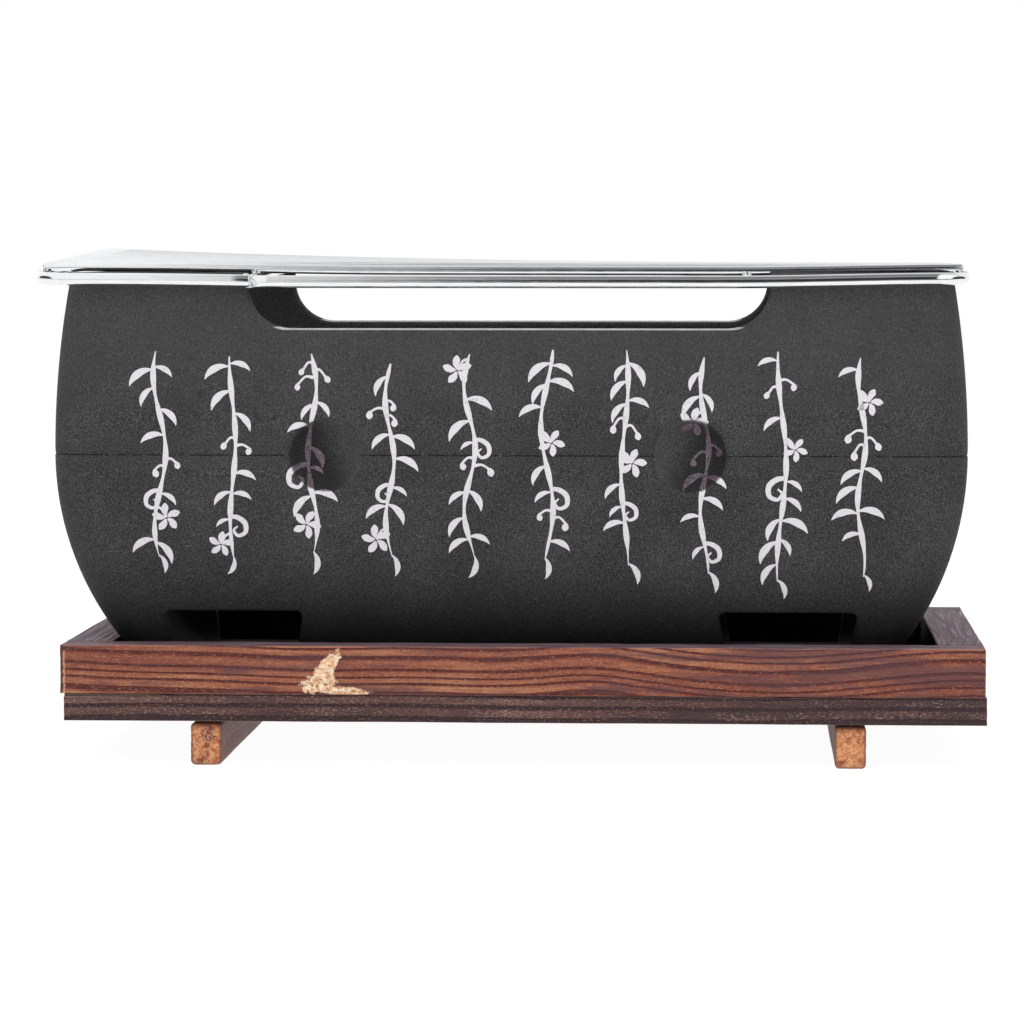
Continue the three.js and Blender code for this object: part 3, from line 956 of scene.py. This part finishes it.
def dimple_part(x, profile, sign_y):
    profile = [(max(radius, 0.05), -HALF_DEPTH + depth) for radius, depth in profile]
    return mirrored(turned(profile, (x, 0.0, DIMPLE_Z), 48, "y"), sign_y=sign_y)


def dimple_bosses():
    profile = dimple_profile(BOSS_RADIUS, ball_depths(BOSS_RADIUS, WALL / 2, 12))
    return [dimple_part(x, profile, sign) for sign in (1, -1) for x in (-DIMPLE_X, DIMPLE_X)]


def dimple_cutters():
    profile = [(DIMPLE_OPENING + LIP, -3.0)]
    for radius, depth in dimple_profile(DIMPLE_RADIUS, ball_depths(DIMPLE_RADIUS, 0.0, 16)):
        flare = LIP - math.sqrt(LIP**2 - (LIP - max(depth, 0.0)) ** 2) if depth < LIP else 0.0
        profile.append((radius + flare, depth))
    return [dimple_part(x, profile, sign) for sign in (1, -1) for x in (-DIMPLE_X, DIMPLE_X)]


def through_wall(outline, edge, inner_edge):
    """A cutter through the front wall whose section grows at both faces, which rounds
    the cut edges. outline(grow) gives the section as (x, z) pairs."""
    quarter = [step * math.pi / 8 for step in range(5)]
    places = [(-4.0, edge), *hollow(0.0, 0.0, edge, quarter)]
    places += [(WALL - depth, grow) for depth, grow in hollow(0.0, 0.0, inner_edge, quarter[::-1])]
    places += [(WALL + 5.0, inner_edge)]
    rings = []
    for depth, grow in places:
        rings.append([(x, wall_inset(z) - HALF_DEPTH + depth, z) for x, z in outline(grow)])
    return loft(rings)


def notch_outline(grow):
    radius = NOTCH_CORNER + grow
    x = NOTCH_HALF_LENGTH - NOTCH_CORNER
    z = NOTCH_BOTTOM + NOTCH_CORNER
    top = CASTING_TOP + 3.0
    places = [(-x - radius, top)]
    for middle, start in ((-x, 1.0), (x, 1.5)):
        for step in range(11):
            angle = (start + 0.05 * step) * math.pi
            places.append((middle + radius * math.cos(angle), z + radius * math.sin(angle)))
        if start == 1.0:
            places += [(step * x / 12, NOTCH_BOTTOM - grow) for step in range(-11, 12)]
    places.append((x + radius, top))
    return places


def vent_outline(middle):
    """The outline of an air vent: narrower at its bottom, with rounded top corners."""
    def outline(grow):
        half_top = VENT_TOP_WIDTH / 2 + grow
        half_bottom = VENT_BOTTOM_WIDTH / 2 + grow
        top = VENT_TOP + grow
        places = [(-half_bottom, FLOOR_TOP + 0.05), (half_bottom, FLOOR_TOP + 0.05)]
        for sign in (1, -1):
            corner = [(0.0, 1.6), (0.3, 0.7), (0.8, 0.22), (1.7, 0.0)]
            turned_corner = corner if sign == 1 else corner[::-1]
            places += [(sign * (half_top - back), top - down) for back, down in turned_corner]
        return [(middle + x, z) for x, z in places]
    return outline


def pads():
    """Four feet cast under the floor."""
    low = CASTING_LOW[2]
    profile = [(PAD_RADIUS - 1.4, low), (PAD_RADIUS - 0.5, low + 0.3), (PAD_RADIUS, low + 1.0)]
    profile += [(PAD_RADIUS + 0.6, FLOOR_BOTTOM - 0.4), (PAD_RADIUS + 1.6, FLOOR_BOTTOM + 0.6)]
    return [turned(profile, (x, y, 0.0)) for x in (-PAD_X, PAD_X) for y in (-PAD_Y, PAD_Y)]


def firebox_casting():
    casting = make_object("firebox_casting", *casting_shell())
    boolean(casting, dimple_bosses() + pads(), "UNION")
    notch = through_wall(notch_outline, CAST_EDGE, CAST_EDGE)
    vents = [through_wall(vent_outline(x), 0.7, 0.0) for x in (-VENT_X, VENT_X)]
    walls = [notch, *vents]
    cutters = walls + [mirrored(part, sign_y=-1) for part in walls] + dimple_cutters()
    boolean(casting, cutters, "DIFFERENCE")
    casting.data.materials.clear()
    casting.data.materials.append(cast_coating())
    soften(casting, 40.0)
    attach(casting, "firebox")
    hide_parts("firebox")


# ---- Brushed decoration on the front ---------------------------------------


def dimple_curve():
    """How far out from a dimple's middle its surface is, at each depth below the face."""
    depths = np.linspace(0.0, DIMPLE_DEPTH, 80)
    centre = DIMPLE_DEPTH - DIMPLE_RADIUS
    ball = np.sqrt(np.maximum(DIMPLE_RADIUS**2 - (depths - centre) ** 2, 0.0))
    flare = LIP - np.sqrt(LIP**2 - np.maximum(LIP - depths, 0.0) ** 2)
    return (ball + flare)[::-1], depths[::-1]


DIMPLE_REACH, DIMPLE_DEPTHS = dimple_curve()


def front_y(x, z):
    """Where the front face is, following the dimples in."""
    face = wall_inset(z) - HALF_DEPTH
    reach = math.hypot(abs(x) - DIMPLE_X, z - DIMPLE_Z)
    if reach > DIMPLE_REACH[-1]:
        return face
    return max(face, -HALF_DEPTH + float(np.interp(reach, DIMPLE_REACH, DIMPLE_DEPTHS)))


def curve_through(knots, step=0.4):
    """A smooth line through (x, z, width) knots, as evenly spaced points."""
    knots = [np.array(knot, float) for knot in knots]
    padded = [2 * knots[0] - knots[1], *knots, 2 * knots[-1] - knots[-2]]
    line = []
    for a, b, c, d in zip(padded, padded[1:], padded[2:], padded[3:]):
        count = max(2, int(np.linalg.norm((c - b)[:2]) / step))
        for i in range(count):
            t = i / count
            line.append(0.5 * (2 * b + (c - a) * t + (2 * a - 5 * b + 4 * c - d) * t**2
                               + (3 * b - a - 3 * c + d) * t**3))
    return [*line, knots[-1]]


def stroke(knots, ink=0.07):
    """A brush stroke on the front face: a thin closed ribbon, tapered by its widths."""
    line = np.array(curve_through(knots))
    heading = np.gradient(line[:, :2], axis=0)
    heading /= np.maximum(np.linalg.norm(heading, axis=1), 1e-6)[:, None]
    across = np.stack([-heading[:, 1], heading[:, 0]], axis=1)
    rings = []
    for place, side, width in zip(line[:, :2], across, np.maximum(line[:, 2], 0.08)):
        spots = [place + side * width * part / 2 for part in (-1, -0.5, 0, 0.5, 1)]
        front = [(x, front_y(x, z) - ink, z) for x, z in spots]
        back = [(x, front_y(x, z) + ink, z) for x, z in reversed(spots)]
        rings.append(front + back)
    return loft(rings)


def placed(spots, x, z, size, angle=0.0, flip=1):
    """Local (u, v, width) knots turned, mirrored and moved onto the face."""
    cosine, sine = math.cos(angle), math.sin(angle)
    knots = []
    for u, v, width in spots:
        u *= flip * size
        v *= size
        knots.append((x + u * cosine - v * sine, z + u * sine + v * cosine, width * size))
    return knots


# Brush motifs on a unit square: knots (across, up, width) of each stroke.
LEAF = [(0.0, 0.0, 0.03), (0.3, 0.12, 0.2), (0.6, 0.12, 0.27), (0.85, 0.03, 0.16), (1.02, -0.1, 0.02)]
CURL = [
    (0.0, 0.0, 0.16), (0.3, -0.1, 0.2), (0.55, -0.4, 0.22), (0.48, -0.78, 0.18), (0.14, -0.86, 0.14),
    (0.02, -0.6, 0.11), (0.22, -0.46, 0.06),
]
PETAL = [(0.0, -0.08, 0.08), (0.05, -0.3, 0.3), (0.0, -0.56, 0.34), (-0.02, -0.74, 0.06)]
BERRY = [(0.0, 0.0, 0.1), (0.0, -0.14, 0.3), (0.0, -0.3, 0.32), (0.0, -0.42, 0.08)]


def leaf(x, z, side, rng):
    return [placed(LEAF, x, z, rng.uniform(5.0, 7.4), -side * rng.uniform(0.15, 0.95), side)]


def leaf_pair(x, z, side, rng):
    return leaf(x, z, side, rng) + leaf(x, z - 0.6, -side, rng)


def tendril(x, z, side, rng):
    """A curl on one side, with a small leaf on the other."""
    return [
        placed(CURL, x, z, rng.uniform(5.2, 6.8), 0.2 * side, side),
        placed(LEAF, x, z - 0.8, rng.uniform(3.8, 5.0), side * rng.uniform(0.2, 0.8), -side),
    ]


def berries(x, z, side, rng):
    """Two or three berries on short twigs."""
    strokes = []
    for number in range(rng.choice((2, 3))):
        out_x = x + side * rng.uniform(2.4, 4.2)
        out_z = z - rng.uniform(0.8, 2.0)
        strokes.append([(x, z, 0.9), ((x + out_x) / 2, z + 0.2, 0.6), (out_x, out_z, 0.6)])
        strokes.append(placed(BERRY, out_x, out_z + 0.3, rng.uniform(4.2, 5.4), rng.uniform(-0.5, 0.5)))
        side = -side
        z -= 1.8
    return strokes


def blossom(x, z, side, rng):
    """Five petals on a short twig."""
    middle_x = x + side * 2.6
    middle_z = z - 2.2
    size = rng.uniform(4.2, 5.2)
    turn = rng.uniform(0, 1.2)
    angles = [turn + number * 2 * math.pi / 5 for number in range(5)]
    strokes = [placed(PETAL, middle_x, middle_z, size, angle) for angle in angles]
    strokes.append([(x, z + 0.6, 0.7), ((x + middle_x) / 2, z, 0.6), (middle_x, middle_z, 0.6)])
    return strokes


def hanging_spray(x, top, bottom, rng):
    """One swaying stem, pressed thick and thin by the brush, with leaves, tendrils,
    berries and blossoms by turns on either side."""
    sway = rng.uniform(0.7, 1.7)
    turns = rng.uniform(7.0, 12.0)
    start = rng.uniform(0.0, 6.0)

    def stem_x(z):
        return x + sway * math.sin(turns * (top - z) / (top - bottom) + start)

    stem = []
    for z in np.linspace(top, bottom, 26):
        ends = min(1.0, 0.3 + (top - z) / 5, 0.15 + (z - bottom) / 8)
        stem.append((stem_x(z), z, ends * (0.75 + 0.75 * math.cos(0.31 * z + start) ** 2)))
    strokes = [stem]
    motifs = [leaf, leaf_pair, tendril, leaf, berries, leaf_pair, blossom, leaf]
    rng.shuffle(motifs)
    side = rng.choice((-1, 1))
    z = top - rng.uniform(1.5, 4.0)
    for motif in motifs * 2:
        if z < bottom + 4.5:
            break
        strokes += motif(stem_x(z), z, side, rng)
        side = -side
        z -= rng.uniform(4.6, 7.2) + (2.6 if motif in (blossom, berries) else 0.0)
    size = rng.uniform(4.5, 6.0)
    angle = -math.pi / 2 + rng.uniform(-0.5, 0.5)
    strokes.append(placed(LEAF, stem_x(bottom), bottom + 0.6, size, angle))
    return strokes


def brushed_sprays():
    """Ten hanging sprays of leaves in a row, painted on the front."""
    rng = random.Random(SEED)
    ink = printed_white()
    pitch = 19.8
    for number in range(10):
        x = (number - 4.5) * pitch + rng.uniform(-0.8, 0.8)
        top = 105.5 + rng.uniform(-3.0, 1.5)
        bottom = 50.0 + rng.uniform(-3.0, 5.0)
        parts = []
        for order, knots in enumerate(hanging_spray(x, top, bottom, rng)):
            parts.append(stroke(knots, 0.05 + 0.012 * (order % 6)))
        piece = make_object(f"painted_spray_{number + 1}", *join(parts), ink, 60.0)
        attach(piece, "firebox")


# ---- Charcoal grate --------------------------------------------------------

SLOT_LENGTH = 24.0
SLOT_WIDTH = 6.0
SLOT_COLUMNS = 9
SLOT_ROWS = 3
SLOT_PITCH_X = 21.0
SLOT_PITCH_Y = 33.0


def flat_spline(curve, places):
    spline = curve.splines.new("POLY")
    spline.points.add(len(places) - 1)
    for point, (x, y) in zip(spline.points, places):
        point.co = (x * MM, y * MM, 0.0, 1.0)
    spline.use_cyclic_u = True


def slot_places(x, y, rounding):
    radius = SLOT_WIDTH / 2 + rounding
    straight = (SLOT_LENGTH - SLOT_WIDTH) / 2
    places = []
    for sign in (1, -1):
        for step in range(9):
            angle = (step / 8 + (0 if sign == 1 else 1)) * math.pi
            places.append((x + radius * math.cos(angle), y + sign * straight + radius * math.sin(angle)))
    return places


def charcoal_grate():
    """A flat slotted sheet with pressed, slightly rounded edges."""
    low, high = box_mm("charcoal_grate")
    sheet = high[2] - low[2]
    rounding = 0.25
    curve = bpy.data.curves.new("grate_outline", "CURVE")
    curve.dimensions = "2D"
    curve.fill_mode = "BOTH"
    curve.extrude = (sheet / 2 - rounding) * MM
    curve.bevel_depth = rounding * MM
    curve.bevel_resolution = 2
    x = high[0] - rounding
    y = high[1] - rounding
    corner = 2.75
    outline = []
    for sign_x, sign_y, start in ((1, 1, 0.0), (-1, 1, 0.5), (-1, -1, 1.0), (1, -1, 1.5)):
        for step in range(6):
            angle = (start + 0.1 * step) * math.pi
            place_x = sign_x * (x - corner) + corner * math.cos(angle)
            outline.append((place_x, sign_y * (y - corner) + corner * math.sin(angle)))
    flat_spline(curve, outline)
    for column in range(SLOT_COLUMNS):
        for row in range(SLOT_ROWS):
            slot_x = (column - (SLOT_COLUMNS - 1) / 2) * SLOT_PITCH_X
            slot_y = (row - (SLOT_ROWS - 1) / 2) * SLOT_PITCH_Y
            flat_spline(curve, slot_places(slot_x, slot_y, rounding))
    blank = bpy.data.objects.new("grate_blank", curve)
    bpy.context.scene.collection.objects.link(blank)
    graph = bpy.context.evaluated_depsgraph_get()
    mesh = bpy.data.meshes.new_from_object(blank.evaluated_get(graph))
    bpy.data.objects.remove(blank)
    work = bmesh.new()
    work.from_mesh(mesh)
    bmesh.ops.remove_doubles(work, verts=work.verts, dist=0.002 * MM)
    bmesh.ops.recalc_face_normals(work, faces=work.faces)
    bmesh.ops.translate(work, verts=work.verts, vec=(0, 0, (low[2] + sheet / 2) * MM))
    work.to_mesh(mesh)
    work.free()
    piece = bpy.data.objects.new("charcoal_grate_plate", mesh)
    bpy.context.scene.collection.objects.link(piece)
    mesh.materials.clear()
    mesh.materials.append(blackened_steel())
    soften(piece, 30.0)
    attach(piece, "charcoal_grate")
    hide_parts("charcoal_grate")


# ---- Wire net --------------------------------------------------------------

RIM_LOW, RIM_HIGH = box_mm("net_rim")
RIM_RADIUS = (RIM_HIGH[2] - RIM_LOW[2]) / 2
NET_CORNER = 9.0
WARP = 4.4  # how far the net's rear left corner has sprung up
WARP_POWER = 2.6
SAG = 0.7  # how far the front of the net hangs between its ends
CROSS_LEFT = sum(box_mm("cross_wire_left"))[0] / 2
CROSS_RIGHT = sum(box_mm("cross_wire_right"))[0] / 2


def smooth_step(value, start, end):
    t = min(max((value - start) / (end - start), 0.0), 1.0)
    return t * t * (3 - 2 * t)


def sagged(x):
    """How far the net's front hangs down between its welds, out of 1."""
    return smooth_step(x, -100.0, -28.0) * (1 - smooth_step(x, 55.0, 116.0))


def sprung(x, y, z):
    """A place on the flat net, moved by the net's slight twist and its sag in front."""
    u = min(max((RIM_HIGH[0] - x) / (RIM_HIGH[0] - RIM_LOW[0]), 0.0), 1.0)
    v = min(max((y - RIM_LOW[1]) / (RIM_HIGH[1] - RIM_LOW[1]), 0.0), 1.0)
    front = 1 - smooth_step(y, -56.0, -20.0)
    return np.array((x, y, z + WARP * u**WARP_POWER * v - SAG * sagged(x) * front))


def net_rim():
    """One wire bent round four corners. Its two ends meet at the weld in front: the right
    end is cut at a slant and hangs a little lower."""
    middle_z = (RIM_LOW[2] + RIM_HIGH[2]) / 2
    front = RIM_LOW[1] + RIM_RADIUS
    radius = NET_CORNER - RIM_RADIUS
    right = RIM_HIGH[0] - RIM_RADIUS - radius
    left = RIM_LOW[0] + RIM_RADIUS + radius
    near = front + radius
    far = -near
    path = []
    for x in [CROSS_LEFT, *np.linspace(CROSS_LEFT + 4.0, right - 4.0, 30)]:
        lift = SAG * sagged(x) - SAG * (1 - smooth_step(x, 55.0, 116.0))
        path.append((x, front, middle_z + lift + 0.1 * smooth_step(x, 60.0, 110.0)))
    for x, y, start in ((right, near, -0.5), (right, far, 0.0), (left, far, 0.5), (left, near, 1.0)):
        for step in range(11):
            angle = math.pi * (start + 0.05 * step)
            path.append((x + radius * math.cos(angle), y + radius * math.sin(angle), middle_z + 0.1))
    path[-11:] = [(x, y, z - 0.02 * step) for step, (x, y, z) in enumerate(path[-11:])]
    for x in np.linspace(left + 3.0, CROSS_LEFT - 0.5, 10):
        path.append((x, front, middle_z - 0.1 - 0.1 * smooth_step(x, left, CROSS_LEFT)))
    points, faces = wire([sprung(*place) for place in path], RIM_RADIUS, 20, 0.35)
    points = np.array(points)
    centre = points[:20].mean(axis=0)
    cut = points[:80]
    cut[:, 0] += 0.8 * (cut[:, 2] - centre[2]) - 1.5 * (cut[:, 1] - centre[1])
    pinch = np.exp(-(((points[:, 0] - CROSS_RIGHT) / 0.8) ** 2))
    pinch *= points[:, 1] < front + RIM_RADIUS + 0.1
    points[:, 2] -= 0.5 * pinch * np.clip((points[:, 2] - centre[2] - 0.3) / RIM_RADIUS, 0, 1)
    return points.tolist(), faces


def spot_weld(x, y, z, size=(1.5, 1.5, 0.5)):
    return blob(sprung(x, y, z), size, 12)


def wire_net():
    metal = polished_wire()
    front = RIM_LOW[1] + RIM_RADIUS
    top = RIM_HIGH[2]
    rim = join([
        net_rim(),
        blob(sprung(CROSS_LEFT - 1.6, front + 0.9, top - 0.35), (0.9, 1.0, 0.45), 16),
        blob(sprung(CROSS_RIGHT, front + 0.9, top - 0.45), (1.1, 1.2, 0.7), 16),
    ])
    made = [("net_rim", make_object("net_rim_wire", *rim, metal, 40.0))]
    for node in ("cross_wire_left", "cross_wire_right"):
        low, high = box_mm(node)
        x = (low[0] + high[0]) / 2
        z = (low[2] + high[2]) / 2
        radius = (high[0] - low[0]) / 2
        ends = [sprung(x, y, z) for y in np.linspace(low[1] - 0.7, high[1] + 0.7, 17)]
        made.append((node, make_object(node + "_bar", *wire(ends, radius, 16), metal, 40.0)))
    for i in range(1, 13):
        node = f"long_wire_{i}"
        low, high = box_mm(node)
        y = (low[1] + high[1]) / 2
        radius = (high[1] - low[1]) / 2
        z = (low[2] + high[2]) / 2 - 0.3
        spots = np.linspace(low[0], high[0], 33)
        parts = [wire([sprung(x, y, z) for x in spots], radius, 16)]
        for x in (RIM_LOW[0] + RIM_RADIUS, CROSS_LEFT, CROSS_RIGHT, RIM_HIGH[0] - RIM_RADIUS):
            parts.append(spot_weld(x, y, low[2] - 0.3))
        made.append((node, make_object(node + "_rod", *join(parts), metal, 40.0)))
    for node, piece in made:
        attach(piece, "grill_net")
        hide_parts(node)


# ---- Stage, camera and light -----------------------------------------------


def stage():
    """A pale, softly glowing table. Beyond its front edge, what the wires mirror is dark,
    as the unlit part of a studio is."""
    s = Shader("pale_floor", Metallic=0.0, Roughness=0.9, Specular_IOR_Level=0.0)
    faint = s.noise(s.place, 0.002, 2.0)
    s.set(Base_Color=s.ramp(faint, [(0.3, tone(96, 96, 96)), (0.7, tone(104, 104, 104))]))
    mirrored_ray = s.add("LightPath").outputs["Is Glossy Ray"]
    far = s.fade(s.times(s.y, -1.0), 380.0, 480.0)
    dim = s.times(far, s.spread(s.fade(s.x, -150.0, -30.0), 0.3, 0.96))
    glow = s.scaled(s.times(dim, mirrored_ray), -0.955, 0.955)
    s.set(Emission_Color=(1.0, 1.0, 1.0, 1.0), Emission_Strength=glow)
    s.material.cycles.emission_sampling = "NONE"
    reach = 40000.0
    corners = [(reach * u, reach * v, 0) for u, v in ((-1, -1), (1, -1), (1, 1), (-1, 1))]
    make_object("floor", corners, [(0, 1, 2, 3)], s.material)


EYE = (58.2, -1132.4, 131.8)
EYE_YAW = 0.0533  # to the left, in radians
EYE_PITCH = 0.0622  # downwards, in radians
FOCAL_LENGTH = 149.2


def camera():
    data = bpy.data.cameras.new("camera")
    data.sensor_width = 36.0
    data.lens = FOCAL_LENGTH
    data.clip_end = 100.0
    made = bpy.data.objects.new("camera", data)
    bpy.context.scene.collection.objects.link(made)
    made.location = Vector(EYE) * MM
    level = math.cos(EYE_PITCH)
    ahead = Vector((-math.sin(EYE_YAW) * level, math.cos(EYE_YAW) * level, -math.sin(EYE_PITCH)))
    made.rotation_euler = ahead.to_track_quat("-Z", "Y").to_euler()
    bpy.context.scene.camera = made


def softbox(name, place, aim, size, power):
    data = bpy.data.lights.new(name, "AREA")
    data.shape = "RECTANGLE"
    data.size, data.size_y = size
    data.energy = power
    made = bpy.data.objects.new(name, data)
    bpy.context.scene.collection.objects.link(made)
    made.location = Vector(place)
    made.rotation_euler = (Vector(aim) - Vector(place)).to_track_quat("-Z", "Y").to_euler()
    made.visible_glossy = False


def studio_world():
    """A white studio. It lights the grill softly from behind and above. The wires mirror a
    bright back and left side, a grey ceiling and a dark room in front, with one bright
    panel to the right."""
    world = bpy.data.worlds.new("studio")
    bpy.context.scene.world = world
    world.use_nodes = True
    w = Nodes(world.node_tree)
    white = grey(1.0)
    direction = w.add("TexCoord").outputs["Generated"]
    x, y, z = w.add("SeparateXYZ", Vector=direction).outputs
    ray = w.add("LightPath").outputs

    def levels(stops):
        """A grey that changes with the height of the direction."""
        return w.ramp(z, [(position, grey(level)) for position, level in stops])

    behind = levels([(0.0, 1.0), (0.2, 1.0), (0.4, 0.75), (1.0, 0.7)])
    before = levels([(0.0, 0.1), (0.1, 0.08), (0.4, 0.12), (0.7, 0.6)])
    soft = w.mix(w.fade(y, 0.3, 0.8), before, behind)
    back = levels([(0.0, 1.0), (0.6, 1.0), (0.9, 0.6), (1.0, 0.35)])
    front = levels([(0.0, 0.03), (0.6, 0.04), (0.72, 0.34), (0.86, 0.34), (0.95, 0.2)])
    front = w.mix(w.fade(x, 0.15, 0.25), front, grey(1.2))
    mirrored = w.mix(w.fade(y, -0.1, 0.25), front, back)
    mirrored = w.mix(w.fade(x, -0.145, -0.05), grey(1.1), mirrored)
    aside = w.math("ABSOLUTE", x)
    mirrored = w.mix(w.fade(aside, 0.8, 0.9), mirrored, grey(0.05))
    light = w.mix(ray["Is Glossy Ray"], soft, mirrored)
    light = w.mix(ray["Is Camera Ray"], light, white)
    w.feed(w.tree.nodes["Background"].inputs["Color"], light)


def lights():
    studio_world()
    softbox("overhead", (0.0, -0.1, 1.3), (0, 0, 0.05), (1.2, 0.8), 10.0)
    softbox("left_strip", (-0.36, -1.1, 0.75), (0, 0, 0.1), (0.36, 1.4), 6.2)
    softbox("right_strip", (0.5, -1.05, 0.75), (0, 0, 0.1), (0.4, 1.4), 7.2)
    bpy.context.scene.view_settings.view_transform = "Standard"


# ---- Making it all ---------------------------------------------------------

camera()
lights()
stage()
wooden_tray()
fasteners()
firebox_casting()
brushed_sprays()
charcoal_grate()
wire_net()
